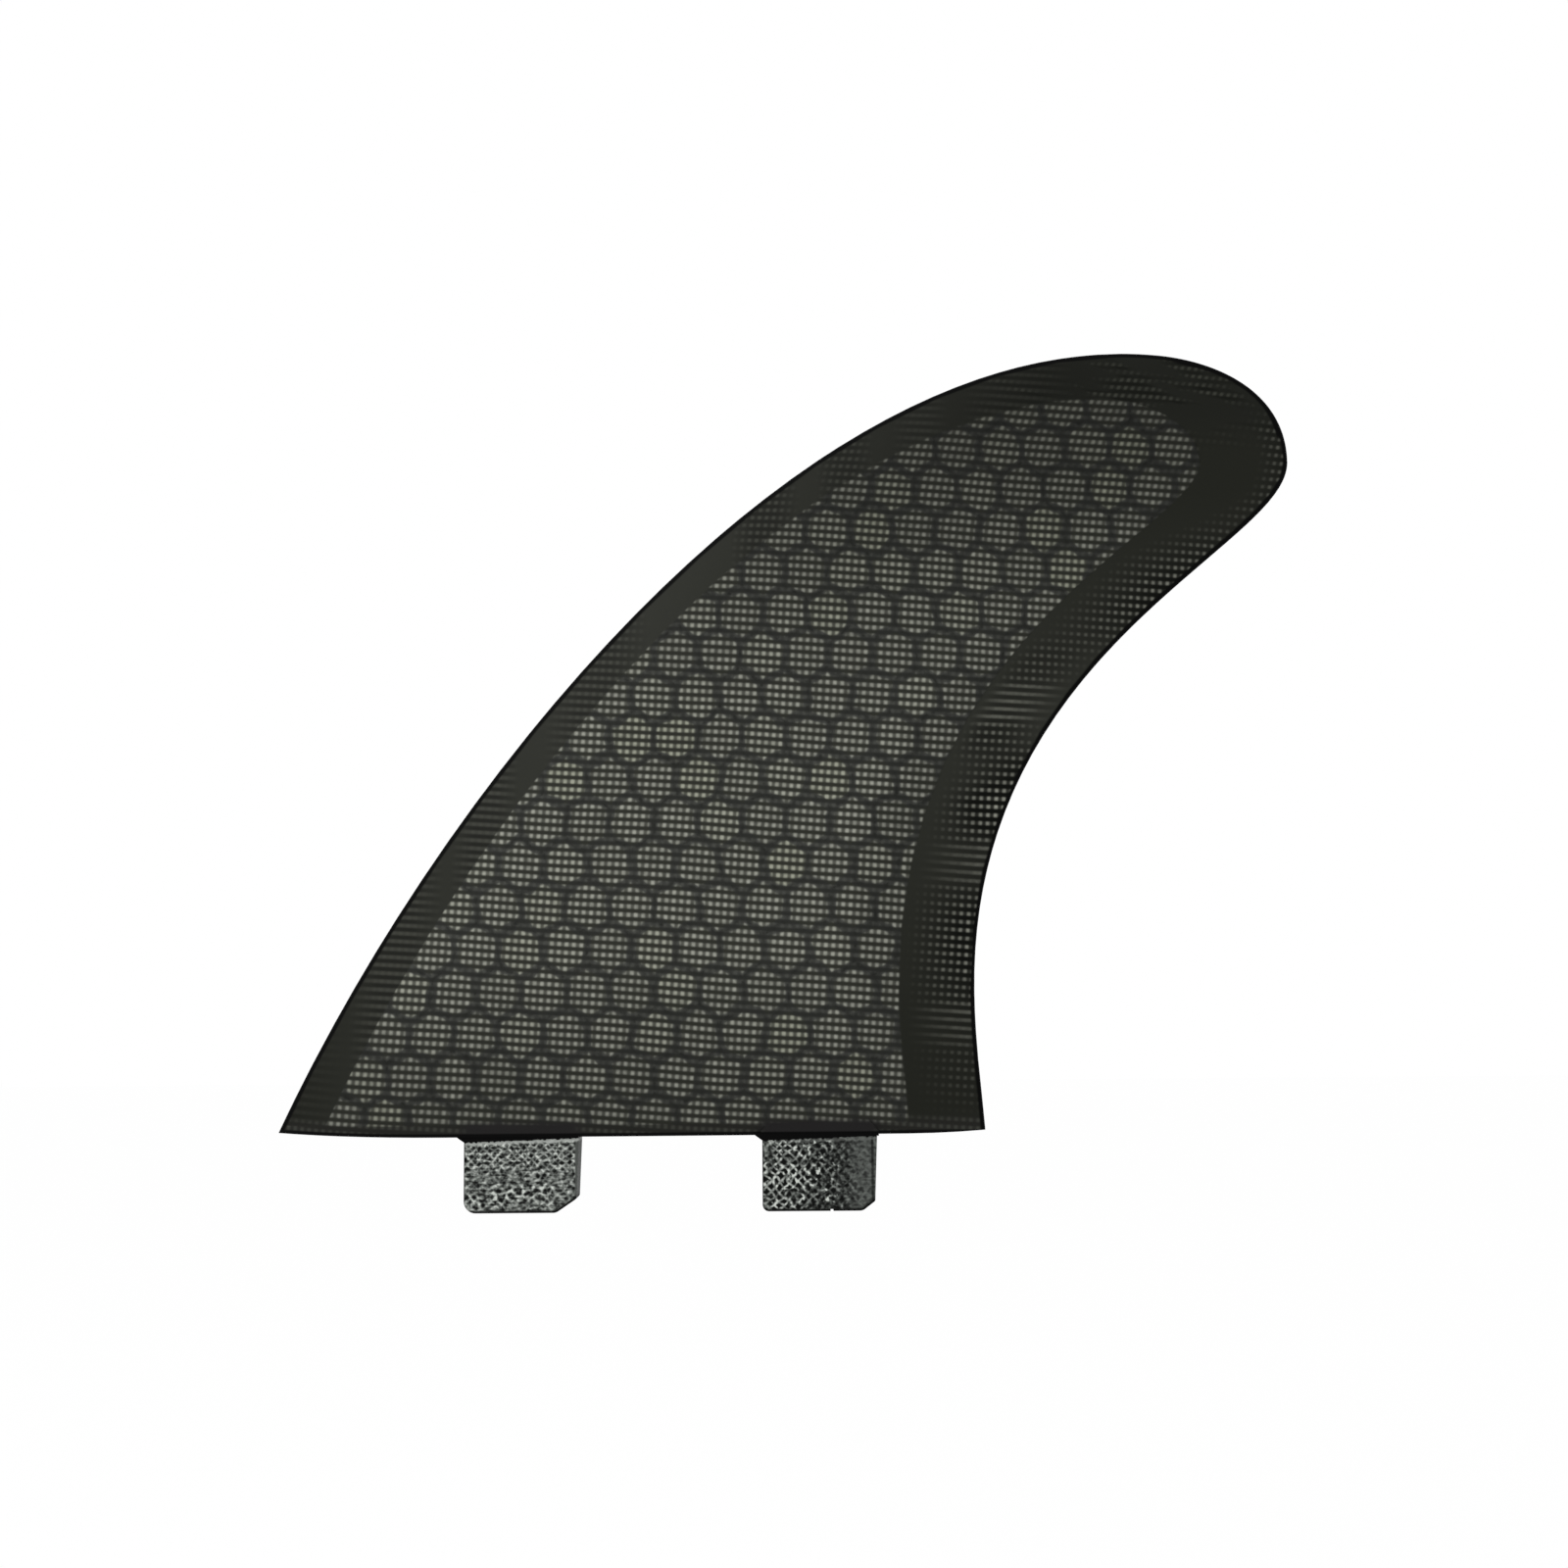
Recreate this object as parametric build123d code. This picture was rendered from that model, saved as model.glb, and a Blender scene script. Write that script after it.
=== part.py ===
"""A surfboard fin: a glass laminate blade with two tabs, a honeycomb core sealed in it, and a skin of
mesh cloth on each side.

The blade stands on the board's plane. X runs back along the board, Z runs out to the tip and
Y is the thickness. The origin is on the base's flat, in the gap between the two tabs.
"""
import math
import os

from build123d import *

# Side outline of the blade, in mm
NOSE_REACH = 66.8        # base's front corner, ahead of the origin
HEEL_REACH = 52.7        # base's rear corner, behind the origin
BLADE_DEPTH = 134.4      # base to the highest point of the tip
APEX_REACH = 78.0        # highest point, behind the origin
TIP_OVERHANG = 29.0      # rearmost point, behind the highest point
TIP_DROP = 19.4          # rearmost point, below the highest point
WAIST_REACH = 51.2       # foremost point of the trailing edge, behind the origin
WAIST_HEIGHT = 23.7      # its height over the base
NOSE_ANGLE = 65.3        # leading edge over the base, in degrees
HEEL_ANGLE = 94.0        # trailing edge over the base, in degrees
NOSE_LIFT = 0.8          # the base's ends rise a little from the board
HEEL_LIFT = 0.5
NOSE_LIFT_LENGTH = 28.0
HEEL_LIFT_LENGTH = 13.0

# How far each curve of the outline keeps its starting direction, as a share of its span
LEAD_PULL = (0.34, 0.286)
CROWN_PULL = (0.573, 0.657)
HOOK_PULL = (0.163, 0.65)
HEEL_PULL = (0.4, 0.3)
ZONE_CROWN_PULL = (0.5, 0.55)   # the cells' zone is a slimmer leaf
ZONE_HOOK_PULL = (0.13, 0.69)
APEX_SHIFT = 0.25        # an inner leaf's highest point moves forward by this share of its tip border

# Foil section
BASE_THICKNESS = 7.4
EDGE_THICKNESS = 1.2
EDGE_ROUND = 0.5
THICKEST_AT = 0.38       # share of the chord
FRONT_FULLNESS = 5       # how round the section is ahead of its thickest point
REAR_FULLNESS = 1.5      # and behind it
TIP_SHARE = 0.35         # how much of the base's thickness the tip keeps
TIP_FULLNESS = 10        # how late the tip thins out
ROLL_OFF = 0.93          # where along the blade the tip has thinned out
SKIN = 0.4               # mesh cloth on each side

# Chords that carry the blade's surface
SECTIONS = 9             # from the base to the highest point
SECTIONS_PAST = 3        # past it, over the tip
PAST_STEP = 0.3          # share of the way over the tip from one of those to the next
TIP_BEGINS = 0.82        # share of the blade's thinning that the highest point has reached
STATIONS = 10            # points along each chord
CROWDING = 1.7           # how much closer they lie at the leading edge
MARGIN = 0.04            # how far the surface reaches past the outline, as a share

# Core zone, measured in from the blade's outline
FRONT_BORDER = 7.5
TOP_BORDER = 8.3
TIP_BORDER = 15.4
REAR_BORDER = 13.0
BASE_BORDER = 2.0
CORE_THICKNESS = 1.2     # the core is a sheet in the middle of the blade
CORE_BAND = 1.0          # solid band round the cells
CELL_PITCH = 7.5         # from cell to cell along a row
ROW_PITCH = 7.17         # from row to row
CELL_WALL = 1.4
FIRST_ROW = 2.6          # centre height of the lowest row
ROW_SHIFT = 4.4          # a cell's centre in that row, behind the origin
SMALLEST_CELL = 5.0      # cut cells under this area stay solid, in mm2

# Tabs
TAB_REACH = 35.0         # front tab's front end, ahead of the origin
TAB_PITCH = 50.0         # from one tab's front end to the other's
TAB_LENGTH = 19.25
TAB_DEPTH = 12.6
TAB_THICKNESS = 6.35
TAB_DRAFT = 0.4          # its rear end leans in by this much at the foot
TAB_CORNER = {"front": 2.0, "rear": 1.1}    # lower front corner's radius
TAB_SLANT = {"front": (3.4, 2.3), "rear": (2.1, 1.6)}   # lower rear corner's cut, along and up
FOOT_ROUND = 1.5         # radius where that cut meets the foot
SLANT_ROUND = 0.5        # and at its upper end
LIP = 0.85               # black lip down over each tab's root, at its front end
LIP_END = 0.2            # and at its rear end
LIP_THICKNESS = 0.3
LIP_LEAD = 1.2           # lip ahead of each tab
LIP_SEAT = 0.4           # lip's height above the base
NECK_STEP = 0.15         # a tab's neck is this much narrower under the lip
ROOT_SLOPE = 40.0        # slope of the swelling over each tab's root, in degrees
ROOT_FILL = 0.45         # share of its width that each side of the swelling slopes over
NICK_REACH = 26.6        # nick in the rear tab's lower edge, behind the origin
NICK_WIDTH = 0.5
NICK_DEPTH = 0.3

FAR = 20.0               # further out than any surface of the fin, sideways


def blend(a, b, t):
    return a + (b - a) * t


def leaf_curves(nose, apex, tip, waist, heel, crown_pull=CROWN_PULL, hook_pull=HOOK_PULL):
    """The four curves of a fin-shaped leaf: leading edge, crown, hook and heel."""
    span = (apex - nose).length
    drop = apex.Y - tip.Y
    reach = tip.X - apex.X
    rise = tip.Y - waist.Y
    heel_rise = waist.Y - heel.Y
    lead = Bezier(
        nose,
        nose + Vector(1, 0).rotate(Axis.Z, NOSE_ANGLE) * LEAD_PULL[0] * span,
        apex - Vector(LEAD_PULL[1] * span, 0),
        apex,
    )
    crown = Bezier(
        apex,
        apex + Vector(crown_pull[0] * reach, 0),
        tip + Vector(0, crown_pull[1] * drop),
        tip,
    )
    hook = Bezier(
        tip,
        tip - Vector(0, hook_pull[0] * rise),
        waist + Vector(0, hook_pull[1] * rise),
        waist,
    )
    heel_curve = Bezier(
        waist,
        waist - Vector(0, HEEL_PULL[0] * heel_rise),
        heel + Vector(1, 0).rotate(Axis.Z, HEEL_ANGLE) * HEEL_PULL[1] * heel_rise,
        heel,
    )
    return [lead, crown, hook, heel_curve]


def leaf_points(front, top, tip, rear, base):
    """The leaf's corner points, each set in from the blade's outline by its own border."""
    step = base / math.tan(math.radians(NOSE_ANGLE))
    return (
        Vector(front + step - NOSE_REACH, base),
        Vector(APEX_REACH - APEX_SHIFT * tip, BLADE_DEPTH - top),
        Vector(APEX_REACH + TIP_OVERHANG - tip, BLADE_DEPTH - TIP_DROP),
        Vector(WAIST_REACH - rear, WAIST_HEIGHT),
        Vector(HEEL_REACH - rear, base),
    )


def blade_outline(inset):
    """The blade in side view, drawn in by an inset, its base curving up a little at both ends."""
    nose, apex, tip, waist, heel = leaf_points(inset, inset, inset, inset, 0)
    nose += Vector(0, NOSE_LIFT)
    heel += Vector(0, HEEL_LIFT)
    flat_front = Vector(NOSE_LIFT_LENGTH - NOSE_REACH, 0)
    flat_rear = Vector(HEEL_REACH - HEEL_LIFT_LENGTH, 0)
    base = [
        TangentArc(flat_rear, heel, tangent=(1, 0)),
        Line(flat_front, flat_rear),
        TangentArc(flat_front, nose, tangent=(-1, 0)),
    ]
    return make_face(leaf_curves(nose, apex, tip, waist, heel) + base)


def zone_outline(band):
    """The zone of the cells in side view, with a band round it."""
    points = leaf_points(
        FRONT_BORDER - band, TOP_BORDER - band, TIP_BORDER - band, REAR_BORDER - band, BASE_BORDER - band
    )
    edge = leaf_curves(*points, crown_pull=ZONE_CROWN_PULL, hook_pull=ZONE_HOOK_PULL)
    return make_face(edge + [Line(points[4], points[0])])


def prism(face, low=-FAR, high=FAR):
    """A side view face carried through the thickness, from one Y to another."""
    return Pos(0, low, 0) * extrude(Plane.XZ * face, -(high - low))


def swell(way):
    """Thickness left at a section, from 1 at the base down to nothing past the tip."""
    way = max(way, 0)
    return (1 - (1 - TIP_SHARE) * way) * (1 - (way / ROLL_OFF) ** TIP_FULLNESS)


def camber(share):
    """Thickness along a chord, 0 at its edges and 1 at the thickest point."""
    if share < THICKEST_AT:
        return 1 - (1 - share / THICKEST_AT) ** FRONT_FULLNESS
    return 1 - ((share - THICKEST_AT) / (1 - THICKEST_AT)) ** REAR_FULLNESS


def foil_face(skin):
    """The blade's right surface, drawn in by a skin and reaching past the outline all round."""
    points = leaf_points(0, 0, 0, 0, 0)
    apex, tip = points[1], points[2]
    lead, crown, hook, heel_curve = leaf_curves(*points)
    trail = Wire([hook, heel_curve])
    rows = []
    for i in range(-1, SECTIONS + SECTIONS_PAST + 1):
        if i < 0:
            front = lead @ 0 - (lead % 0) * MARGIN * lead.length
            rear = trail @ 1 + (trail % 1) * MARGIN * trail.length
            way = 0
        elif i <= SECTIONS:
            front = lead @ (i / SECTIONS)
            rear = trail @ (1 - i / SECTIONS)
            way = TIP_BEGINS * i / SECTIONS
        else:
            past = PAST_STEP * (i - SECTIONS)
            front = Vector(blend(apex.X, tip.X, past), apex.Y)
            rear = Vector(tip.X, blend(tip.Y, apex.Y, past))
            way = blend(TIP_BEGINS, 1, past)
        shares = [-MARGIN]
        shares += [(j / STATIONS) ** CROWDING for j in range(STATIONS + 1)]
        shares += [1 + MARGIN]
        row = []
        for share in shares:
            place = front + (rear - front) * share
            half = EDGE_THICKNESS / 2
            half += (BASE_THICKNESS - EDGE_THICKNESS) / 2 * swell(way) * camber(share)
            row.append((place.X, half - skin, place.Y))
        rows.append(row)
    return Face.make_surface_from_array_of_points(rows, tol=0.005, min_deg=3, max_deg=5)


def under(face):
    """Everything on the inner side of a right surface."""
    return Solid.extrude(face, Vector(0, -2 * FAR, 0))


def blade_half():
    """The right half of the bare blade, with its rim rounded."""
    half = prism(blade_outline(0), 0, FAR) & under(foil_face(0))
    surface = half.faces().filter_by(GeomType.BSPLINE).sort_by(SortBy.AREA)[-1]
    rim = [e for e in surface.edges() if e.bounding_box().max.Z > WAIST_HEIGHT / 2]
    return fillet(rim, EDGE_ROUND)


def blade_inside():
    """What lies between the two skins."""
    right = under(foil_face(SKIN))
    return prism(blade_outline(SKIN)) & right & mirror(right, Plane.XZ)


def tab_span(which):
    """Front and rear end of a tab along the board."""
    start = -TAB_REACH if which == "front" else TAB_PITCH - TAB_REACH
    return start, start + TAB_LENGTH


def tab(which):
    """One tab below its root, rounded at the lower front and cut at the lower rear."""
    start, end = tab_span(which)
    foot_end = end - TAB_DRAFT
    back, up = TAB_SLANT[which]
    corners = [
        (start, -LIP),
        (start, -TAB_DEPTH),
        (foot_end - back, -TAB_DEPTH),
        (foot_end, -TAB_DEPTH + up),
        (end, -LIP_END),
    ]
    outline = make_face(Polyline(corners, close=True))
    for corner, radius in ((1, TAB_CORNER[which]), (2, FOOT_ROUND), (3, SLANT_ROUND)):
        outline = fillet(outline.vertices().sort_by_distance(corners[corner])[0], radius)
    if which == "rear":
        outline -= Pos(NICK_REACH, -TAB_DEPTH) * Rectangle(NICK_WIDTH, 2 * NICK_DEPTH)
    return prism(outline, -TAB_THICKNESS / 2, TAB_THICKNESS / 2)


def tab_root(which):
    """The tab's neck, a little narrower than the tab, from inside it up into the blade."""
    start, end = tab_span(which)
    neck = Rectangle(end - start - TAB_DRAFT - 2 * NECK_STEP, TAB_THICKNESS - 2 * NECK_STEP)
    middle = (start + end - TAB_DRAFT) / 2
    return Pos(middle, 0, -2 * LIP) * extrude(neck, 2 * LIP + LIP_SEAT)


def collar(which):
    """The lip of black resin round a tab's root, which thins out towards the rear."""
    start, end = tab_span(which)
    corners = [(start - LIP_LEAD, LIP_SEAT), (start - LIP_LEAD, 0), (start, -LIP), (end, -LIP_END)]
    if which == "rear":
        end += LIP_THICKNESS
        corners.append((end, -LIP_END))
    corners.append((end, LIP_SEAT))
    side = TAB_THICKNESS / 2 + LIP_THICKNESS
    return prism(make_face(Polyline(corners, close=True)), -side, side)


def swelling(which, grow):
    """The slope from a tab's root in to the blade's surface."""
    start, end = tab_span(which)
    width = TAB_THICKNESS + 2 * grow
    foot = Rectangle(end - start + 2 * grow, width)
    height = ROOT_FILL * width / math.tan(math.radians(ROOT_SLOPE))
    return Pos((start + end) / 2, 0, LIP_SEAT) * extrude(foot, height, taper=ROOT_SLOPE)


def cell_faces():
    """The cells in side view: rows of upright hexagons, cut off where their zone ends."""
    zone = zone_outline(0)
    box = zone.bounding_box()
    share = 1 - CELL_WALL / CELL_PITCH
    side = CELL_PITCH / 2 * share
    shoulder = ROW_PITCH / 3 * share
    hexagon = make_face(Polyline(
        (side, -shoulder), (side, shoulder), (0, 2 * shoulder),
        (-side, shoulder), (-side, -shoulder), (0, -2 * shoulder), close=True))
    cells = []
    for row in range(math.ceil((box.max.Y - FIRST_ROW) / ROW_PITCH) + 1):
        height = FIRST_ROW + row * ROW_PITCH
        shift = ROW_SHIFT + row % 2 * CELL_PITCH / 2
        first = math.floor((box.min.X - shift) / CELL_PITCH)
        last = math.ceil((box.max.X - shift) / CELL_PITCH)
        for column in range(first, last + 1):
            cells += (zone & Pos(shift + column * CELL_PITCH, height) * hexagon).faces()
    return [face for face in cells if face.area > SMALLEST_CELL]


def core_sheet(outline):
    """A side view face carried through the core's thickness."""
    return prism(outline, -CORE_THICKNESS / 2, CORE_THICKNESS / 2)


def honeycomb():
    """The core: a sheet of upright cells with a solid band round them."""
    cells = Sketch(children=cell_faces())
    return core_sheet(zone_outline(CORE_BAND) - cells)


def build():
    body = blade_inside()
    skins = blade_half()
    for which in ("front", "rear"):
        body = body + swelling(which, 0) - collar(which) + tab_root(which) + tab(which)
        skins = skins + swelling(which, SKIN) + collar(which)
    right_skin = split(skins, Plane.XZ, Keep.BOTTOM) - body
    return {
        "laminate_body": body - core_sheet(zone_outline(CORE_BAND)),
        "honeycomb_core": honeycomb(),
        "right_skin": right_skin,
        "left_skin": mirror(right_skin, Plane.XZ),
    }


os.makedirs("parts", exist_ok=True)
for name, solid in build().items():
    export_step(solid, f"parts/{name}.step")
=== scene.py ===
"""A surfboard fin in its own colours: dark mesh cloth over a pale honeycomb, and two glass laminate tabs.

The frame is in metres: X runs back along the board, Z runs out to the fin's tip and Y is the
thickness. Materials measure the surface in millimetres from the same origin.
"""

import math

import bpy
from mathutils import Matrix, Vector

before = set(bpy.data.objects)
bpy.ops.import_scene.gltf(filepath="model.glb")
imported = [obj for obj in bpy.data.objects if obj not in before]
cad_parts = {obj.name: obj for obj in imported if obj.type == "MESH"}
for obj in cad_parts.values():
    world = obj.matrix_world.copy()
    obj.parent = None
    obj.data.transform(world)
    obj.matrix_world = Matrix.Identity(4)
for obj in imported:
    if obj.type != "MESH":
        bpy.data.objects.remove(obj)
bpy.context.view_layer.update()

# Core. A thin sheet of resin-soaked honeycomb, laid along the middle of the blade and sealed inside
# the laminate. The sheet itself is hidden, and its cells only show through the cloth of the skins.


def paint(red, green, blue):
    """A colour as a screen shows it, 0 to 255, turned into the renderer's own scale."""
    scale = []
    for level in (red, green, blue):
        share = level / 255
        scale.append(share / 12.92 if share < 0.04045 else ((share + 0.055) / 1.055) ** 2.4)
    return (*scale, 1.0)


def feed(tree, socket, source):
    """Feeds a socket from another one, or sets it to a value. None leaves it as it is."""
    if isinstance(source, bpy.types.NodeSocket):
        tree.links.new(source, socket)
    elif source is not None:
        socket.default_value = source


def add_node(tree, kind, *sources, **settings):
    """A node with its settings made and its inputs fed in order."""
    made = tree.nodes.new("ShaderNode" + kind)
    for name, value in settings.items():
        setattr(made, name, value)
    for socket, source in zip(made.inputs, sources):
        feed(tree, socket, source)
    return made


def reckon_vector(tree, operation, *sources):
    """The result of one Vector Math node."""
    return add_node(tree, "VectorMath", *sources, operation=operation).outputs[0]


def cloudy(tree, place, scale, detail, output=0):
    """A noise pattern with so many clouds to a millimetre: one level, or three as a Color."""
    return add_node(tree, "TexNoise", place, None, scale, detail).outputs[output]


def blend(tree, share, first, second):
    """A colour or a level between two others."""
    mixer = add_node(tree, "Mix", share, data_type="RGBA")
    feed(tree, mixer.inputs[6], first)
    feed(tree, mixer.inputs[7], second)
    return mixer.outputs[2]


def start_material(name):
    """A material with its shader's inputs, and the place on the piece in millimetres."""
    material = bpy.data.materials.new(name)
    material.use_nodes = True
    tree = material.node_tree
    coordinates = tree.nodes.new("ShaderNodeTexCoord").outputs["Object"]
    place = reckon_vector(tree, "MULTIPLY", coordinates, (1000.0, 1000.0, 1000.0))
    return material, tree, tree.nodes["Principled BSDF"].inputs, place


def dress(name, material):
    """Gives a piece of the frame its material."""
    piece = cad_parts[name]
    piece.data.materials.clear()
    piece.data.materials.append(material)


CORE_DARK = paint(52, 50, 44)
CORE_PALE = paint(92, 88, 76)
core_material, tree, shader, place = start_material("honeycomb core")
fibres = cloudy(tree, place, scale=2.0, detail=4.0)
feed(tree, shader["Base Color"], blend(tree, fibres, CORE_DARK, CORE_PALE))
feed(tree, shader["Roughness"], 0.7)
dress("honeycomb_core", core_material)

# Laminate. Layers of woven glass pressed in resin, which fill the blade round the core and run down
# into the two tabs. The tabs' cut sides show the pale strands and the dark resin between them.
TAB_SPANS = ((-35.0, -15.75), (15.0, 34.25))  # each tab's front and rear end, in mm
TAB_LENGTH = TAB_SPANS[0][1] - TAB_SPANS[0][0]
TAB_PITCH = TAB_SPANS[1][0] - TAB_SPANS[0][0]
TAB_FOOT = -12.6
LIP_LINE = (-0.85, -0.2)    # heights at which the black lip ends, at a tab's front and rear end
FOOT_CUTS = ((-19.55, 3.4, 2.3), (31.75, 2.1, 1.6))  # where each tab's cut starts, its length and height


def reckon(tree, operation, *sources):
    """The result of one Math node."""
    return add_node(tree, "Math", *sources, operation=operation).outputs[0]


def product(tree, level, *others):
    """Levels multiplied together."""
    for other in others:
        level = reckon(tree, "MULTIPLY", level, other)
    return level


def fade(tree, value, start, end):
    """0 at start and 1 at end, with a soft step between them."""
    step = add_node(tree, "MapRange", value, start, end, 0.0, 1.0, interpolation_type="SMOOTHSTEP")
    return step.outputs[0]


def level_ramp(tree, value, stops):
    """A level or a colour that changes evenly from stop to stop, with the stops' places in order."""
    start = stops[0][0]
    span = stops[-1][0] - start
    share = reckon(tree, "DIVIDE", reckon(tree, "SUBTRACT", value, start), span)
    made = add_node(tree, "ValToRGB", share)
    elements = made.color_ramp.elements
    for place_on, level in stops:
        where = (place_on - start) / span
        if where == 0.0:
            stop = elements[0]
        elif where == 1.0:
            stop = elements[-1]
        else:
            stop = elements.new(where)
        stop.color = level if isinstance(level, tuple) else (level, level, level, 1.0)
    return made.outputs[0]


def mix_levels(tree, base, *parts):
    """A level made of a base and swings about it, each from its own 0 to 1 pattern and weight."""
    level = base
    for pattern, weight in parts:
        swing = product(tree, reckon(tree, "SUBTRACT", pattern, 0.5), weight)
        level = reckon(tree, "ADD", swing, level)
    return level


def start_group(name, sizes, outputs):
    """A node group of a place and its named sizes and outputs, given as the sockets inside it."""
    tree = bpy.data.node_groups.new(name, "ShaderNodeTree")
    tree.interface.new_socket("Place", in_out="INPUT", socket_type="NodeSocketVector")
    for label in sizes:
        tree.interface.new_socket(label, in_out="INPUT", socket_type="NodeSocketFloat")
    for label in outputs:
        tree.interface.new_socket(label, in_out="OUTPUT", socket_type="NodeSocketFloat")
    return tree, tree.nodes.new("NodeGroupInput").outputs, tree.nodes.new("NodeGroupOutput").inputs


def use_group(tree, group, place, sizes):
    """A node group placed in a material with its sizes set by name."""
    made = add_node(tree, "Group", place, node_tree=group)
    for label, size in sizes.items():
        made.inputs[label].default_value = size
    return made.outputs


def raise_surface(tree, shader, height, strength, depth):
    """Gives a surface fine relief, as deep as depth in metres."""
    bump = add_node(tree, "Bump", strength, depth, None, height)
    feed(tree, shader["Normal"], bump.outputs[0])


# The glass itself: a slanting net of strands, with dark resin in each mesh, broken up into beads
SLANTED_SHARE = 0.707       # a step along x crosses the slanting strands by this share of it
STRAND_WIDTH = 0.34         # half a strand of the net, as a share of a mesh
STRAND_WANDER = 2.4         # how far the weave's strands stray from straight lines, in mm along x
WEAVE_SPAN = (-0.25, 1.1)   # the waves' levels at which the weave is darkest and lightest
CLOUD_SPAN = (0.28, 0.72)   # the same for the clouds that make the beads
STREAK_SQUEEZE = (0.5, 1.0, 1.5)  # streaks are three times as long as they are high
glass_tree, glass_in, glass_out = start_group(
    "woven glass", ("Mesh", "Disorder", "Strand gap", "Bead"), ("Net", "Weave", "Beads", "Streaks"))
x, y, z = add_node(glass_tree, "SeparateXYZ", glass_in["Place"]).outputs
across = reckon(glass_tree, "ADD", x, y)
flat = add_node(glass_tree, "CombineXYZ", across, 0.0, z).outputs[0]
rising = reckon(glass_tree, "ADD", across, z)
falling = reckon(glass_tree, "SUBTRACT", z, across)
slanted = add_node(glass_tree, "CombineXYZ", rising, falling).outputs[0]
net = add_node(glass_tree, "TexVoronoi", slanted, voronoi_dimensions="2D", feature="DISTANCE_TO_EDGE")
feed(glass_tree, net.inputs["Scale"], reckon(glass_tree, "DIVIDE", SLANTED_SHARE, glass_in["Mesh"]))
feed(glass_tree, net.inputs["Randomness"], glass_in["Disorder"])
feed(glass_tree, glass_out["Net"], fade(glass_tree, net.outputs["Distance"], STRAND_WIDTH, 0.0))

beads = cloudy(glass_tree, flat, scale=reckon(glass_tree, "DIVIDE", 1.0, glass_in["Bead"]), detail=1.0)
feed(glass_tree, glass_out["Beads"], fade(glass_tree, beads, *CLOUD_SPAN))

wander = cloudy(glass_tree, flat, scale=0.35, detail=1.0, output="Color")
wander = reckon_vector(glass_tree, "MULTIPLY_ADD", wander, (STRAND_WANDER,) * 3, slanted)
pitch = product(glass_tree, glass_in["Strand gap"], math.sqrt(2))
ups_and_downs = []
for slant in add_node(glass_tree, "SeparateXYZ", wander).outputs[:2]:
    turn = product(glass_tree, reckon(glass_tree, "DIVIDE", slant, pitch), math.tau)
    ups_and_downs.append(reckon(glass_tree, "COSINE", turn))
highest = reckon(glass_tree, "MAXIMUM", *ups_and_downs)
feed(glass_tree, glass_out["Weave"], fade(glass_tree, highest, *WEAVE_SPAN))

drawn_out = reckon_vector(glass_tree, "MULTIPLY", flat, STREAK_SQUEEZE)
streaks = cloudy(glass_tree, drawn_out, scale=1.3, detail=1.0)
feed(glass_tree, glass_out["Streaks"], fade(glass_tree, streaks, 0.3, 0.7))

laminate_material, tree, shader, place = start_material("glass laminate")
x, y, z = add_node(tree, "SeparateXYZ", place).outputs
on_rear = reckon(tree, "GREATER_THAN", x, 0.0)
on_front = reckon(tree, "SUBTRACT", 1.0, on_rear)
along = reckon(tree, "SUBTRACT", x, TAB_SPANS[0][0])
along = reckon(tree, "SUBTRACT", along, product(tree, on_rear, TAB_PITCH))
clumps = cloudy(tree, place, scale=0.35, detail=2.0)

# Front tab: the net is clear low down and along the top, in bands that rise to the rear, with fine
# streaks between them. Its rear end is a strip of plain resin.
BAND_RISE = 0.28
FRONT_STRIP = (18.4, 18.8)
STRIP_LEVEL = (0.36, 0.36, 0.36, 1.0)
glass = use_group(tree, glass_tree, place, {"Mesh": 1.5, "Disorder": 0.8, "Strand gap": 0.9, "Bead": 0.8})
band = reckon(tree, "MULTIPLY_ADD", along, -BAND_RISE, z)
net_weight = level_ramp(tree, band, (
    (-18, 0.1), (-14, 0.2), (-12.5, 0.8), (-10.5, 0.75), (-8.8, 0.2), (-6, 0.1), (-3.5, 0.6), (-1, 0.3)))
net_weight = product(tree, net_weight, fade(tree, clumps, 0.3, 0.6))
weave_weight = level_ramp(tree, z, (
    (-12.6, 0.24), (-9, 0.24), (-7, 0.14), (-5.5, 0.28), (-4, 0.44), (-1, 0.36)))
front_level = mix_levels(
    tree, 0.445, (glass["Net"], net_weight), (glass["Weave"], weave_weight), (glass["Beads"], 0.38),
    (glass["Streaks"], 0.46))
front_level = blend(tree, fade(tree, along, *FRONT_STRIP), front_level, STRIP_LEVEL)

# Rear tab: a finer, brighter net at the front that breaks up, then smooth resin, and a dark joint just
# ahead of the rear end
REAR_SEAM = 18.45
SEAM_DEPTH = 0.2
SPARK_STRENGTH = 0.4        # lone bright beads
glass = use_group(tree, glass_tree, place, {"Mesh": 1.25, "Disorder": 0.4, "Strand gap": 1.15, "Bead": 0.8})
net_weight = level_ramp(tree, along, ((0, 0.15), (6, 0.2), (9, 0.2), (12, 0.1), (15, 0.0), (20, 0.0)))
net_weight = product(tree, net_weight, fade(tree, clumps, 0.25, 0.55))
bead_weight = level_ramp(tree, along, ((0, 0.55), (8, 0.62), (13, 0.44), (16, 0.16), (20, 0.12)))
weave_weight = level_ramp(tree, along, ((0, 1.0), (5, 0.85), (8, 0.5), (13, 0.3), (16, 0.12), (20, 0.1)))
weave_weight = product(tree, weave_weight, fade(tree, clumps, 0.2, 0.6))
base = level_ramp(tree, along, ((0, 0.33), (6, 0.31), (9, 0.22), (13, 0.2), (16, 0.34), (20, 0.38)))
rear_level = mix_levels(
    tree, base, (glass["Net"], net_weight), (glass["Weave"], weave_weight), (glass["Beads"], bead_weight),
    (glass["Streaks"], 0.14))
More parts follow.
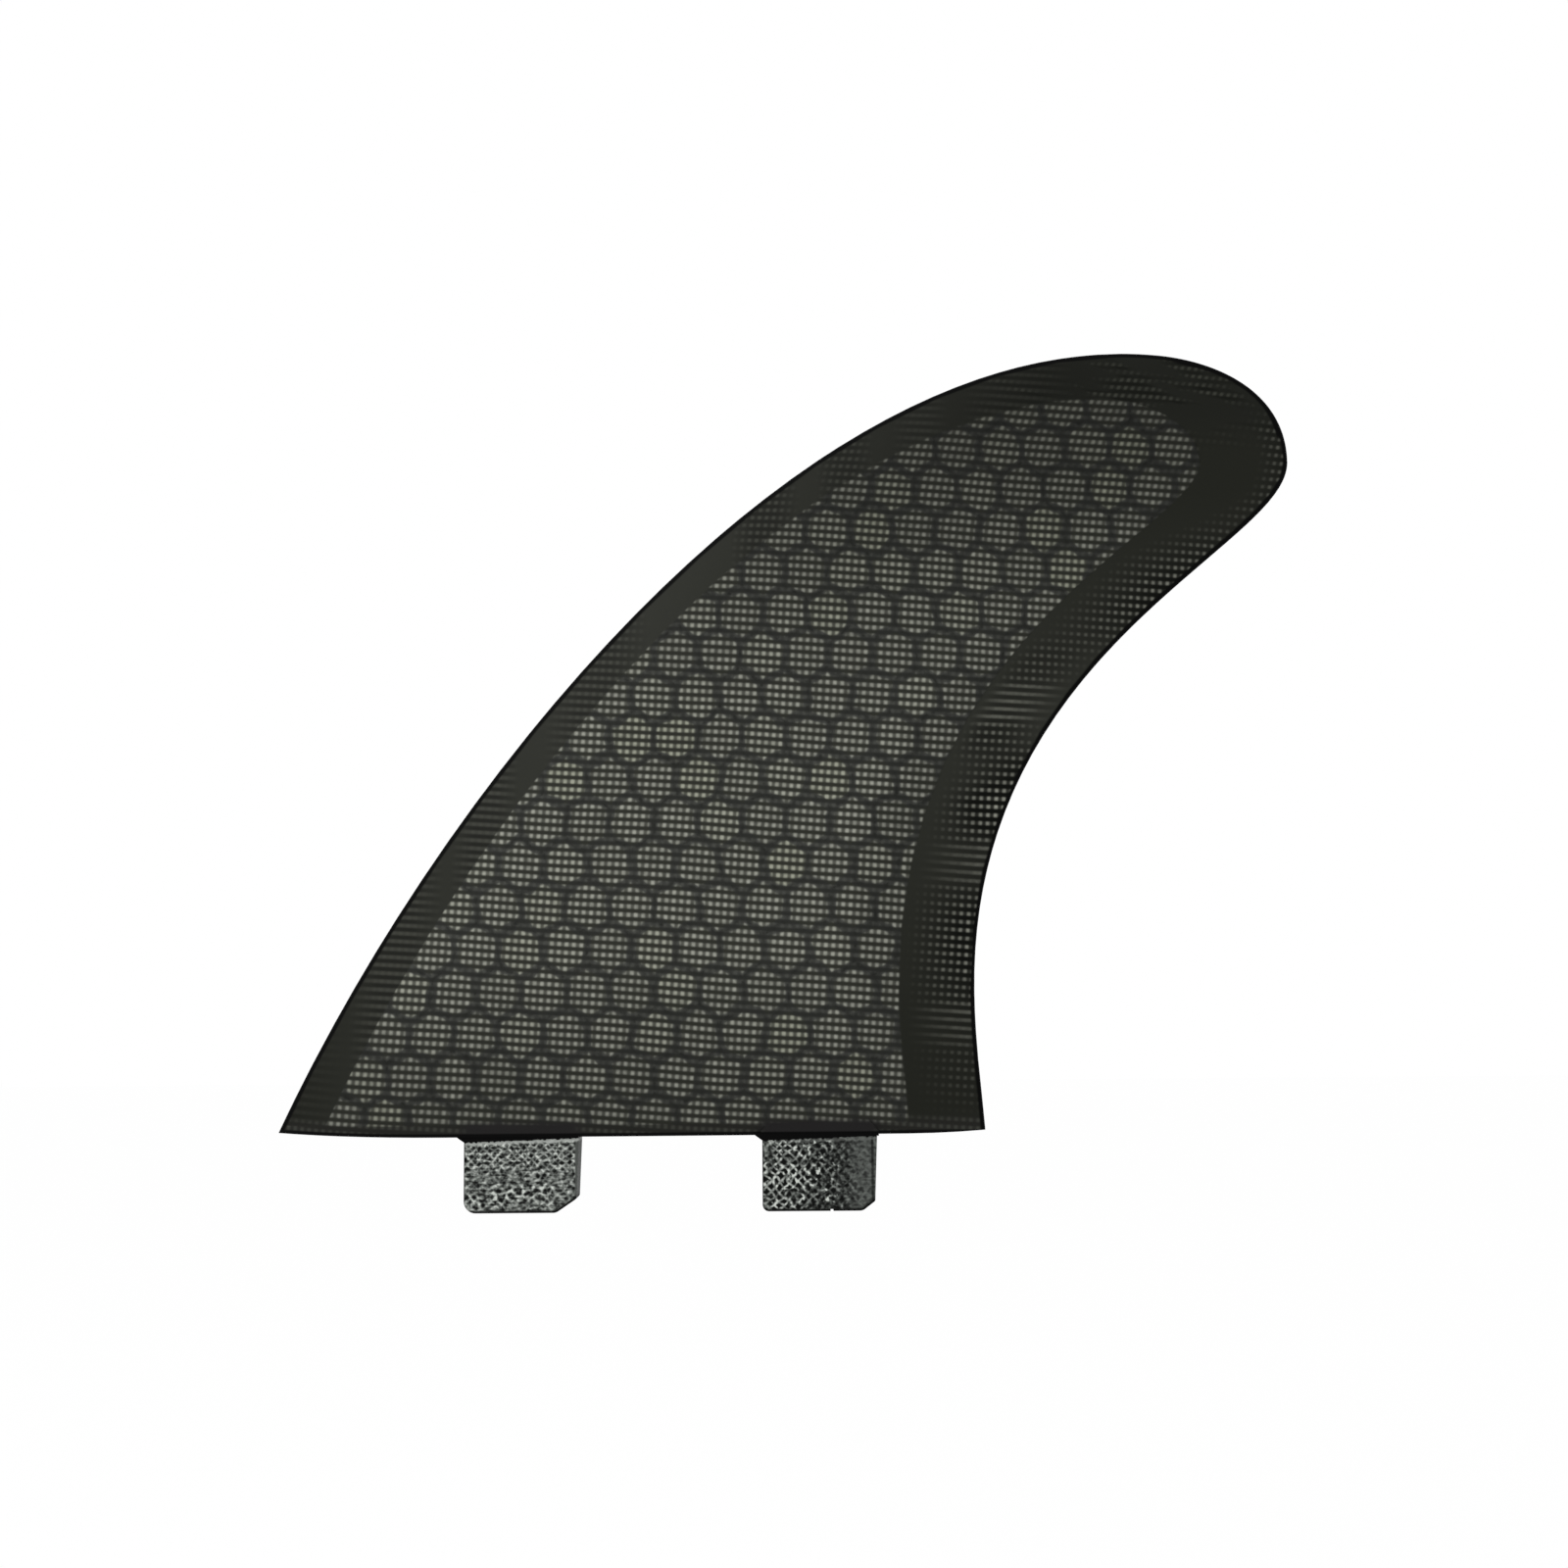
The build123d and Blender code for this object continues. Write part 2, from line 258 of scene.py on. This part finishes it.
sparks = product(tree, fade(tree, glass["Beads"], 0.75, 0.95), fade(tree, clumps, 0.42, 0.58),
                 fade(tree, along, 15.5, 11.0))
rear_level = reckon(tree, "MULTIPLY_ADD", sparks, SPARK_STRENGTH, rear_level)
seam = reckon(tree, "ABSOLUTE", reckon(tree, "SUBTRACT", along, REAR_SEAM))
rear_level = reckon(tree, "MULTIPLY_ADD", fade(tree, seam, 0.3, 0.1), -SEAM_DEPTH, rear_level)

level = blend(tree, on_rear, front_level, rear_level)
surface = level_ramp(tree, level, (
    (0.0, paint(6, 7, 6)), (0.25, paint(48, 50, 48)), (0.5, paint(101, 105, 101)),
    (0.75, paint(152, 156, 151)), (1.0, paint(206, 211, 204))))

# A ragged pale line under the lip, and black resin above it
PALE_STRAND = paint(176, 180, 175)
LIP_RESIN = paint(8, 8, 8)
FRONT_LINE, REAR_LINE = 0.85, 0.15  # how clear the pale line is on each tab
RAGGEDNESS = 0.4
lip_height = reckon(tree, "MULTIPLY_ADD", along, (LIP_LINE[1] - LIP_LINE[0]) / TAB_LENGTH, LIP_LINE[0])
ragged = reckon(tree, "MULTIPLY_ADD", glass["Beads"], RAGGEDNESS, -RAGGEDNESS / 2)
below_lip = reckon(tree, "ADD", reckon(tree, "SUBTRACT", lip_height, z), ragged)
line_strength = reckon(tree, "MULTIPLY_ADD", on_rear, REAR_LINE - FRONT_LINE, FRONT_LINE)
pale_line = product(tree, fade(tree, below_lip, 0.7, 0.4), line_strength)
surface = blend(tree, pale_line, surface, PALE_STRAND)
surface = blend(tree, fade(tree, below_lip, 0.1, 0.0), surface, LIP_RESIN)

# Painted shade: dark round each tab's foot, where it stands for the tab's shaded underside, and up the
# front end; and dark on the blade's base between the tabs, as its shaded underside
FOOT_SHADE = paint(10, 11, 10)
UNDERSIDE_SHADE = paint(16, 16, 15)
FAR_OFF = 100.0             # keeps a tab's cut away from the other tab
to_foot = reckon(tree, "SUBTRACT", z, TAB_FOOT)
rim = to_foot
for elsewhere, (start, length, rise) in zip((on_rear, on_front), FOOT_CUTS):
    slope = math.atan2(rise, length)
    into = product(tree, reckon(tree, "SUBTRACT", start, x), math.sin(slope))
    into = reckon(tree, "MULTIPLY_ADD", to_foot, math.cos(slope), into)
    rim = reckon(tree, "MINIMUM", rim, reckon(tree, "MULTIPLY_ADD", elsewhere, FAR_OFF, into))
rim = reckon(tree, "MINIMUM", rim, reckon(tree, "MULTIPLY_ADD", along, 1.6, 0.25))
# Painted shade along each tab's foot, round its cuts and up its front end
surface = blend(tree, fade(tree, rim, 0.75, 0.2), surface, FOOT_SHADE)
# Painted shade on the underside of the blade's base past each tab's rear end
surface = blend(tree, fade(tree, along, TAB_LENGTH + 0.25, TAB_LENGTH + 0.45), surface, UNDERSIDE_SHADE)
feed(tree, shader["Base Color"], surface)
feed(tree, shader["Roughness"], 0.55)
feed(tree, shader["Specular IOR Level"], 0.06)
raise_surface(tree, shader, level, strength=0.4, depth=0.00006)
dress("laminate_body", laminate_material)

# Skins. One layer of open black mesh cloth on each side, wetted out with clear resin in the mould.
# Its holes show what lies behind: pale core cells as bright dots, and the black rim as faint ones.
# Round each tab's root the resin stands out as a small black lip.
BLADE_NOSE = (-66.8, 0.8)   # corners of the blade's outline in side view, in mm
BLADE_APEX = (78.0, 134.4)
BLADE_TIP = (107.0, 115.0)
BLADE_WAIST = (51.2, 23.7)
BLADE_HEEL = (52.7, 0.5)
ZONE_NOSE = (-58.5, 2.0)    # and of the zone of cells inside it
ZONE_APEX = (74.2, 126.1)
ZONE_TIP = (91.6, 115.0)
ZONE_WAIST = (38.2, 23.7)
ZONE_HEEL = (39.7, 2.0)
NOSE_PULL = (0.142, 0.309)  # how strongly each corner steers the curves, as shares of their reach
APEX_PULL = 0.286
WAIST_PULL = 0.4
HEEL_PULL = (-0.021, 0.3)


def arc_point(corners, share):
    """A point on the smooth curve that four points steer."""
    left = 1 - share
    weights = (left ** 3, 3 * left * left * share, 3 * left * share * share, share ** 3)
    return [sum(w * corner[axis] for w, corner in zip(weights, corners)) for axis in (0, 1)]


def steered(start, end, start_pull, end_pull):
    """The four points of a curve, which leaves start and reaches end as its pulls say."""
    first = (start[0] + start_pull[0], start[1] + start_pull[1])
    second = (end[0] + end_pull[0], end[1] + end_pull[1])
    return start, first, second, end


def leaf_edges(nose, apex, tip, waist, heel, crown_pull, hook_pull):
    """Points of a leaf-shaped outline: over its top from the front, and up its rear side."""
    span = math.dist(nose, apex)
    drop = apex[1] - tip[1]
    reach = tip[0] - apex[0]
    rise = tip[1] - waist[1]
    heel_rise = waist[1] - heel[1]
    front = steered(nose, apex, (NOSE_PULL[0] * span, NOSE_PULL[1] * span), (-APEX_PULL * span, 0))
    crown = steered(apex, tip, (crown_pull[0] * reach, 0), (0, crown_pull[1] * drop))
    hook = steered(tip, waist, (0, -hook_pull[0] * rise), (0, hook_pull[1] * rise))
    heel_pull = (HEEL_PULL[0] * heel_rise, HEEL_PULL[1] * heel_rise)
    low = steered(waist, heel, (0, -WAIST_PULL * heel_rise), heel_pull)
    over = [arc_point(front, i / 16) for i in range(17)]
    over += [arc_point(crown, i / 12) for i in range(1, 13)]
    back = [arc_point(low, 1 - i / 4) for i in range(4)]
    back += [arc_point(hook, 1 - i / 16) for i in range(17)]
    back += [arc_point(crown, 1 - i / 12) for i in range(1, 12)]
    return over, [(height, reach_back) for reach_back, height in back]


MAP_LENGTH = 210.0          # the curve nodes run from 0 to 1 over this length
MAP_START = -70.0


def edge_curve(tree, value, points):
    """A length found from another one, along a curve through the points."""
    share = reckon(tree, "DIVIDE", reckon(tree, "SUBTRACT", value, MAP_START), MAP_LENGTH)
    curve = add_node(tree, "FloatCurve", 1.0, share)
    line = curve.mapping.curves[0]
    marks = [((a - MAP_START) / MAP_LENGTH, (b - MAP_START) / MAP_LENGTH) for a, b in points]
    line.points[0].location = (0.0, marks[0][1])
    line.points[1].location = (1.0, marks[-1][1])
    for mark in marks:
        line.points.new(*mark)
    for point in line.points:
        point.handle_type = "VECTOR"
    curve.mapping.update()
    return reckon(tree, "MULTIPLY_ADD", curve.outputs[0], MAP_LENGTH, MAP_START)


def depth_inside(tree, along, across, points):
    """How deep inside an edge a place lies, square to the edge."""
    edge = edge_curve(tree, along, points)
    further = edge_curve(tree, reckon(tree, "ADD", along, 2.0), points)
    slope = product(tree, reckon(tree, "SUBTRACT", further, edge), 0.5)
    steepness = reckon(tree, "SQRT", reckon(tree, "MULTIPLY_ADD", slope, slope, 1.0))
    return reckon(tree, "DIVIDE", reckon(tree, "SUBTRACT", edge, across), steepness)


# Where the cells and the rim lie, seen from the side
zone_tree, zone_in, zone_out = start_group("blade zones", (), ("Cells", "Behind", "Rear share", "Depth"))
x, y, z = add_node(zone_tree, "SeparateXYZ", zone_in["Place"]).outputs
zone_over, zone_back = leaf_edges(
    ZONE_NOSE, ZONE_APEX, ZONE_TIP, ZONE_WAIST, ZONE_HEEL, (0.5, 0.55), (0.13, 0.69))
blade_over, blade_back = leaf_edges(
    BLADE_NOSE, BLADE_APEX, BLADE_TIP, BLADE_WAIST, BLADE_HEEL, (0.573, 0.657), (0.163, 0.65))
ahead = reckon(zone_tree, "SUBTRACT", z, edge_curve(zone_tree, x, zone_over))
behind = reckon(zone_tree, "SUBTRACT", x, edge_curve(zone_tree, z, zone_back))
in_cells = product(zone_tree, fade(zone_tree, ahead, 0.3, -0.4), fade(zone_tree, behind, 0.25, -0.25),
                   fade(zone_tree, z, 1.7, 2.3))
to_edge = reckon(zone_tree, "SUBTRACT", edge_curve(zone_tree, z, blade_back), x)
rear_share = reckon(zone_tree, "DIVIDE", behind, reckon(zone_tree, "ADD", behind, to_edge))
from_above = depth_inside(zone_tree, x, z, blade_over)
from_behind = depth_inside(zone_tree, z, x, blade_back)
feed(zone_tree, zone_out["Cells"], in_cells)
feed(zone_tree, zone_out["Behind"], behind)
feed(zone_tree, zone_out["Rear share"], rear_share)
feed(zone_tree, zone_out["Depth"], reckon(zone_tree, "MINIMUM", from_above, from_behind))

# The cells themselves: two interleaved grids of rounded hexagons
CELL_EDGE = (-0.08, 0.07)   # where a cell's light fades in, as shares of half its width
SEAM_EDGE = (-0.07, -0.16)  # and the dark seam in the wall
cell_tree, cell_in, cell_out = start_group(
    "honeycomb cells", ("Gap", "Row gap", "Wall", "Rounding"), ("Cell", "Seam", "Chance"))
x, y, z = add_node(cell_tree, "SeparateXYZ", cell_in["Place"]).outputs
gap = cell_in["Gap"]
row_gap = cell_in["Row gap"]
half_gap = product(cell_tree, gap, 0.5)
shares = []
names = []
for which in (0.0, 1.0):
    across = reckon(cell_tree, "SUBTRACT", x, product(cell_tree, half_gap, which))
    up = reckon(cell_tree, "SUBTRACT", z, product(cell_tree, row_gap, which))
    near_x = reckon(cell_tree, "WRAP", across, half_gap, product(cell_tree, half_gap, -1.0))
    near_z = reckon(cell_tree, "WRAP", up, row_gap, product(cell_tree, row_gap, -1.0))
    side = reckon(cell_tree, "DIVIDE", reckon(cell_tree, "ABSOLUTE", near_x), half_gap)
    roof = reckon(cell_tree, "DIVIDE", reckon(cell_tree, "ABSOLUTE", near_z), row_gap)
    roof = reckon(cell_tree, "MULTIPLY_ADD", roof, 1.5, product(cell_tree, side, 0.5))
    shares.append(reckon(cell_tree, "SMOOTH_MAX", side, roof, cell_in["Rounding"]))
    column = reckon(cell_tree, "ROUND", reckon(cell_tree, "DIVIDE", across, gap))
    row = reckon(cell_tree, "ROUND", reckon(cell_tree, "DIVIDE", up, product(cell_tree, row_gap, 2.0)))
    names.append(add_node(cell_tree, "CombineXYZ", column, row, which).outputs[0])
nearest = reckon(cell_tree, "MINIMUM", *shares)
wall_share = reckon(cell_tree, "SUBTRACT", 1.0, reckon(cell_tree, "DIVIDE", cell_in["Wall"], gap))
inner = reckon(cell_tree, "SUBTRACT", wall_share, nearest)
feed(cell_tree, cell_out["Cell"], fade(cell_tree, inner, *CELL_EDGE))
feed(cell_tree, cell_out["Seam"], fade(cell_tree, inner, *SEAM_EDGE))
second = reckon(cell_tree, "LESS_THAN", shares[1], shares[0])
cell_name = blend(cell_tree, second, names[0], names[1])
feed(cell_tree, cell_out["Chance"], add_node(cell_tree, "TexWhiteNoise", cell_name).outputs[0])

# The mesh cloth: rows and columns of small holes between black threads
CLOTH_DRIFT = 1.6           # how far the rows stray from straight lines, in mm
TIP_PULL_FROM = 97.0        # above this height the threads bend over towards the tip
TIP_PULL = 0.005            # by this much for each mm2
ROWS_SHUT = -0.85           # where the waves of the rows and columns are below these, threads shut them
COLUMNS_SHUT = -0.95
cloth_tree, cloth_in, cloth_out = start_group(
    "mesh cloth", ("Lean", "Thread gap", "Row gap"), ("Rows", "Holes"))
drift = cloudy(cloth_tree, cloth_in["Place"], scale=0.022, detail=1.0, output="Color")
drift = reckon_vector(cloth_tree, "SUBTRACT", drift, (0.5, 0.5, 0.5))
drift = reckon_vector(cloth_tree, "MULTIPLY", drift, (CLOTH_DRIFT, 0.0, CLOTH_DRIFT))
laid = reckon_vector(cloth_tree, "ADD", cloth_in["Place"], drift)
x, y, z = add_node(cloth_tree, "SeparateXYZ", laid).outputs
lean = reckon(cloth_tree, "RADIANS", cloth_in["Lean"])
cosine = reckon(cloth_tree, "COSINE", lean)
sine = reckon(cloth_tree, "SINE", lean)
along = reckon(cloth_tree, "SUBTRACT", product(cloth_tree, x, cosine), product(cloth_tree, z, sine))
over = reckon(cloth_tree, "ADD", product(cloth_tree, x, sine), product(cloth_tree, z, cosine))
high = reckon(cloth_tree, "MAXIMUM", reckon(cloth_tree, "SUBTRACT", z, TIP_PULL_FROM), 0.0)
bend = product(cloth_tree, reckon(cloth_tree, "POWER", high, 2.0), TIP_PULL)
along = reckon(cloth_tree, "SUBTRACT", along, bend)
waves = []
for distance, pitch, shut in ((over, "Row gap", ROWS_SHUT), (along, "Thread gap", COLUMNS_SHUT)):
    turn = product(cloth_tree, reckon(cloth_tree, "DIVIDE", distance, cloth_in[pitch]), math.tau)
    waves.append(fade(cloth_tree, reckon(cloth_tree, "COSINE", turn), shut, 1.1))
rows, columns = waves
holes = product(cloth_tree, rows, reckon(cloth_tree, "MULTIPLY_ADD", columns, 0.78, 0.22))
feed(cloth_tree, cloth_out["Rows"], rows)
feed(cloth_tree, cloth_out["Holes"], holes)

FIRST_CELL = (4.4, 2.6)
CELL_WANDER = 1.0           # the cells stray this much from their grid
skin_material, tree, shader, place = start_material("mesh cloth in resin")
x, y, z = add_node(tree, "SeparateXYZ", place).outputs
zone = use_group(tree, zone_tree, place, {})
uneven = cloudy(tree, place, scale=0.3, detail=1.0, output="Color")
uneven = reckon_vector(
    tree, "MULTIPLY_ADD", uneven, (2 * CELL_WANDER, 0.0, 2 * CELL_WANDER),
    (FIRST_CELL[0] - CELL_WANDER, 0.0, FIRST_CELL[1] - CELL_WANDER))
shifted = reckon_vector(tree, "SUBTRACT", place, uneven)
cells = use_group(tree, cell_tree, shifted, {"Gap": 7.5, "Row gap": 7.17, "Wall": 1.45, "Rounding": 0.16})
cloth = use_group(tree, cloth_tree, place, {"Lean": 4.0, "Thread gap": 1.25, "Row gap": 1.4})

# Holes over a cell, a little greener here and there, with painted shade by height that leaves them
# brightest in the blade's lower half
CELL_LIGHT = paint(158, 159, 149)
CELL_GREENISH = paint(158, 161, 139)
CELL_THREAD = paint(47, 48, 42)
# Painted shade: the light in the holes falls off towards the base and the tip
painted_dimming = level_ramp(tree, z, ((0, 0.85), (16, 0.95), (47, 1.0), (80, 0.92), (105, 0.78), (126, 0.6)))
greener = product(tree, reckon(tree, "POWER", cells["Chance"], 5.0), 0.5)
cell_light = blend(tree, greener, CELL_LIGHT, CELL_GREENISH)
spots = cloudy(tree, place, scale=0.85, detail=2.0)
varied = reckon(tree, "MULTIPLY_ADD", spots, 1.4, 0.12)
varied = reckon(tree, "MULTIPLY_ADD", cells["Chance"], 0.26, varied)
cell_level = product(tree, painted_dimming, varied, cloth["Holes"])
cell_colour = blend(tree, cell_level, CELL_THREAD, cell_light)

# Over the walls the cloth is nearly even, with a darker seam here and there. Painted shade makes the whole
# zone darker towards the base, the tip and the rear.
WALL_THREAD = paint(44, 45, 42)
WALL_HOLE = paint(73, 74, 70)
WALL_SEAM = paint(38, 39, 36)
BLACK = paint(0, 0, 0)
wall_level = reckon(tree, "MULTIPLY_ADD", cloth["Rows"], 0.4, product(tree, cloth["Holes"], 0.6))
wall_level = product(tree, wall_level, painted_dimming)
wall_colour = blend(tree, wall_level, WALL_THREAD, WALL_HOLE)
seam_level = product(tree, cells["Seam"], fade(tree, spots, 0.35, 0.8))
wall_colour = blend(tree, seam_level, wall_colour, WALL_SEAM)
core_colour = blend(tree, cells["Cell"], wall_colour, cell_colour)
# Painted shade, blending towards black by height and near the zone's rear
shade = level_ramp(tree, z, (
    (0, 0.3), (12, 0.22), (30, 0.04), (60, 0.04), (85, 0.15), (112, 0.42), (126, 0.5)))
rear_shade = product(tree, fade(tree, zone["Behind"], -17.0, -3.0), 0.24)
core_colour = blend(tree, reckon(tree, "MAXIMUM", shade, rear_shade), core_colour, BLACK)

# Behind the cells the holes brighten towards the rear edge. The two sides' cloths fall in and out of
# step on the way up, so dots turn into lines and back.
BEAT = 27.5
FIRST_BEAT = 18.0
RIM_HOLE = paint(150, 151, 140)
RIM_GAP = paint(9, 10, 7)
beat_turn = reckon(tree, "DIVIDE", reckon(tree, "SUBTRACT", z, FIRST_BEAT), BEAT)
beat = reckon(tree, "COSINE", product(tree, beat_turn, math.tau))
dotted = reckon(tree, "MAXIMUM", fade(tree, beat, 0.9, 0.5), fade(tree, z, 80.0, 87.0))
rim_holes = reckon(tree, "POWER", blend(tree, dotted, cloth["Rows"], cloth["Holes"]), 1.5)
up_the_rear = level_ramp(tree, z, (
    (3, 0.0), (8, 0.12), (14, 0.13), (19, 0.2), (31, 0.62), (36, 0.58), (43, 0.2), (48, 0.24), (56, 1.0),
    (60, 0.5), (74, 0.22), (84, 0.22), (90, 0.5), (95, 0.5), (104, 0.1), (117, 0.3)))
narrowing = product(tree, fade(tree, z, 98.0, 110.0), 0.6)
at_edge = fade(tree, zone["Rear share"], reckon(tree, "ADD", narrowing, 0.05), 1.0)
midway = product(tree, fade(tree, zone["Rear share"], 0.0, 0.3), fade(tree, zone["Rear share"], 1.0, 0.4))
in_middle = product(tree, fade(tree, z, 62.0, 68.0), fade(tree, z, 86.0, 80.0))
rear_strength = product(tree, up_the_rear, blend(tree, in_middle, at_edge, midway))
rear_level = product(tree, rear_strength, rim_holes, reckon(tree, "MULTIPLY_ADD", spots, 1.4, 0.3))
rear_plain = level_ramp(tree, z, (
    (0, paint(30, 31, 26)), (20, paint(33, 34, 29)), (70, paint(44, 45, 40)), (110, paint(32, 33, 28))))
rear_ground = blend(tree, product(tree, rear_strength, 2.0), rear_plain, RIM_GAP)
rear_colour = blend(tree, rear_level, rear_ground, RIM_HOLE)

# Ahead of the cells and over the tip the cloth is plain, with stretches of faint rows
ROW_STRETCHES = (           # the middle, reach and strength of each
    (-47, 8, 0.9), (-32, 5.9, 0.9), (-13, 9, 0.9), (16, 6, 0.9), (30, 5, 0.7), (43, 5, 0.35), (60, 10, 0.3))
row_stops = [(-66, 0.3), (-58, 0.1)]
for middle, reach, strength in ROW_STRETCHES:
    row_stops += [(middle - reach, 0.0), (middle - reach / 3, strength)]
    row_stops += [(middle + reach / 3, strength), (middle + reach, 0.0)]
lined = level_ramp(tree, x, row_stops)
plain_colour = level_ramp(tree, x, (
    (-66, paint(28, 29, 24)), (-49, paint(42, 43, 38)), (-9, paint(49, 50, 45)), (20, paint(42, 43, 38)),
    (64, paint(24, 25, 21)), (80, paint(29, 30, 26))))
row_dark = blend(tree, 0.5, plain_colour, BLACK)
row_light = blend(tree, 0.1, plain_colour, RIM_HOLE)
in_dots = product(tree, fade(tree, x, -25.0, 0.0), fade(tree, x, 45.0, 30.0))
row_level = blend(tree, in_dots, cloth["Rows"], cloth["Holes"])
row_level = reckon(tree, "MULTIPLY_ADD", row_level, 0.75, product(tree, cloth["Holes"], 0.25))
ahead_colour = blend(tree, lined, plain_colour, blend(tree, row_level, row_dark, row_light))

# Long faint dashes over the tip
DASH_DARK = paint(18, 19, 15)
DASH_LIGHT = paint(57, 58, 52)
drawn_out = add_node(tree, "CombineXYZ", x, 0.0, reckon(tree, "ADD", x, product(tree, z, 4.0))).outputs[0]
patches = cloudy(tree, drawn_out, scale=0.08, detail=2.0)
dashes = product(tree, fade(tree, patches, 0.45, 0.66), fade(tree, x, 50.0, 66.0))
dash_colour = blend(tree, cloth["Holes"], DASH_DARK, DASH_LIGHT)
ahead_colour = blend(tree, dashes, ahead_colour, dash_colour)

rear_side = product(tree, fade(tree, zone["Behind"], -0.5, 0.5), fade(tree, z, 125.0, 116.0))
rim_colour = blend(tree, rear_side, ahead_colour, rear_colour)
low_colour = blend(tree, cloth["Holes"], paint(33, 33, 30), paint(56, 57, 52))
rim_colour = blend(tree, fade(tree, z, 3.6, 1.8), rim_colour, low_colour)
surface = blend(tree, zone["Cells"], rim_colour, core_colour)

# Solid resin: over the tabs, and black along the base and round the rim
NOSE_LIFT, NOSE_RUN = 0.8, 28.0  # the base rises this much over this length
EDGE_LINE = 0.6             # black line round the blade
TAB_RESIN = paint(33, 32, 32)
EDGE_RESIN = paint(3, 3, 3)
over_tabs = 0.0
for start, end in TAB_SPANS:
    ends = product(tree, fade(tree, x, start - 2.0, start + 1.5), fade(tree, x, end + 2.0, end - 1.5))
    over_tabs = reckon(tree, "ADD", ends, over_tabs)
surface = blend(tree, product(tree, over_tabs, fade(tree, z, 3.2, 1.7)), surface, TAB_RESIN)
to_nose = reckon(tree, "MAXIMUM", reckon(tree, "SUBTRACT", NOSE_RUN + BLADE_NOSE[0], x), 0.0)
to_nose = reckon(tree, "POWER", reckon(tree, "DIVIDE", to_nose, NOSE_RUN), 2.0)
over_base = reckon(tree, "SUBTRACT", z, product(tree, to_nose, NOSE_LIFT))
to_rim = reckon(tree, "MINIMUM", product(tree, over_base, 1.4), zone["Depth"])
surface = blend(tree, fade(tree, to_rim, 1.7 * EDGE_LINE, EDGE_LINE), surface, EDGE_RESIN)
grain = cloudy(tree, place, scale=0.7, detail=3.0)
relief = reckon(tree, "MULTIPLY_ADD", cloth["Holes"], -0.5, product(tree, grain, 0.5))
feed(tree, shader["Base Color"], surface)
feed(tree, shader["Roughness"], reckon(tree, "MULTIPLY_ADD", grain, 0.16, 0.36))
feed(tree, shader["Specular IOR Level"], 0.04)
raise_surface(tree, shader, relief, strength=0.25, depth=0.00004)
for name in ("left_skin", "right_skin"):
    dress(name, skin_material)

# The studio: a pale floor below the fin, a white surround and one large soft lamp. Floor and surround
# look white to the camera and in reflections, and give the fin no more light for it.
FLOOR_DROP = 0.15
FLOOR_HALF = 4.0
AMBIENT = 0.7
LAMP_PLACE = (-0.45, -0.85, 0.6)
LAMP_AIM = (0.0, 0.0, 0.05)


def seen_as_white(tree):
    """1 for rays from the camera, off gloss or through glass, and 0 for the rest."""
    rays = tree.nodes.new("ShaderNodeLightPath").outputs
    seen = reckon(tree, "MAXIMUM", rays["Is Camera Ray"], rays["Is Glossy Ray"])
    return reckon(tree, "MAXIMUM", seen, rays["Is Transmission Ray"])


floor_mesh = bpy.data.meshes.new("floor")
corners = [(a * FLOOR_HALF, b * FLOOR_HALF, -FLOOR_DROP) for a, b in ((-1, -1), (1, -1), (1, 1), (-1, 1))]
floor_mesh.from_pydata(corners, [], [(0, 1, 2, 3)])
floor = bpy.data.objects.new("floor", floor_mesh)
bpy.context.scene.collection.objects.link(floor)
floor_material, tree, shader, place = start_material("pale floor")
feed(tree, shader["Base Color"], (0.9, 0.9, 0.9, 1.0))
feed(tree, shader["Roughness"], 0.8)
glow = add_node(tree, "Emission", (1.0, 1.0, 1.0, 1.0), 1.03).outputs[0]
lit = tree.nodes["Principled BSDF"].outputs[0]
mixed = add_node(tree, "MixShader", product(tree, seen_as_white(tree), 0.9), lit, glow).outputs[0]
feed(tree, tree.nodes["Material Output"].inputs["Surface"], mixed)
floor_mesh.materials.append(floor_material)

world = bpy.data.worlds.new("studio")
world.use_nodes = True
bpy.context.scene.world = world
tree = world.node_tree
backdrop = tree.nodes["Background"].inputs
feed(tree, backdrop["Color"], (1.0, 1.0, 1.0, 1.0))
feed(tree, backdrop["Strength"], reckon(tree, "MULTIPLY_ADD", seen_as_white(tree), 1 - AMBIENT, AMBIENT))

lamp = bpy.data.lights.new("soft lamp", "AREA")
lamp.size = 0.9
lamp.energy = 4.2
lamp_stand = bpy.data.objects.new("soft lamp", lamp)
lamp_stand.location = LAMP_PLACE
lamp_stand.rotation_euler = (Vector(LAMP_AIM) - Vector(LAMP_PLACE)).to_track_quat("-Z", "Y").to_euler()
bpy.context.scene.collection.objects.link(lamp_stand)

# The camera looks a little upward at the fin's left side, and is turned a touch clockwise
CAMERA_PLACE = Vector((0.01908, -0.3783, 0.0239))
CAMERA_RISE = math.asin(0.0935)
CAMERA_ROLL = math.radians(0.42)
camera_data = bpy.data.cameras.new("camera")
camera_data.lens = 50.83
camera_data.sensor_width = 36.0
camera = bpy.data.objects.new("camera", camera_data)
forward = Vector((0.0, math.cos(CAMERA_RISE), math.sin(CAMERA_RISE)))
level_right = Vector((1.0, 0.0, 0.0))
level_up = Vector((0.0, -math.sin(CAMERA_RISE), math.cos(CAMERA_RISE)))
right = level_right * math.cos(CAMERA_ROLL) - level_up * math.sin(CAMERA_ROLL)
up = level_right * math.sin(CAMERA_ROLL) + level_up * math.cos(CAMERA_ROLL)
turned = Matrix((right, up, -forward)).transposed().to_4x4()
camera.matrix_world = Matrix.Translation(CAMERA_PLACE) @ turned
bpy.context.scene.collection.objects.link(camera)
bpy.context.scene.camera = camera
bpy.context.scene.view_settings.view_transform = "Standard"
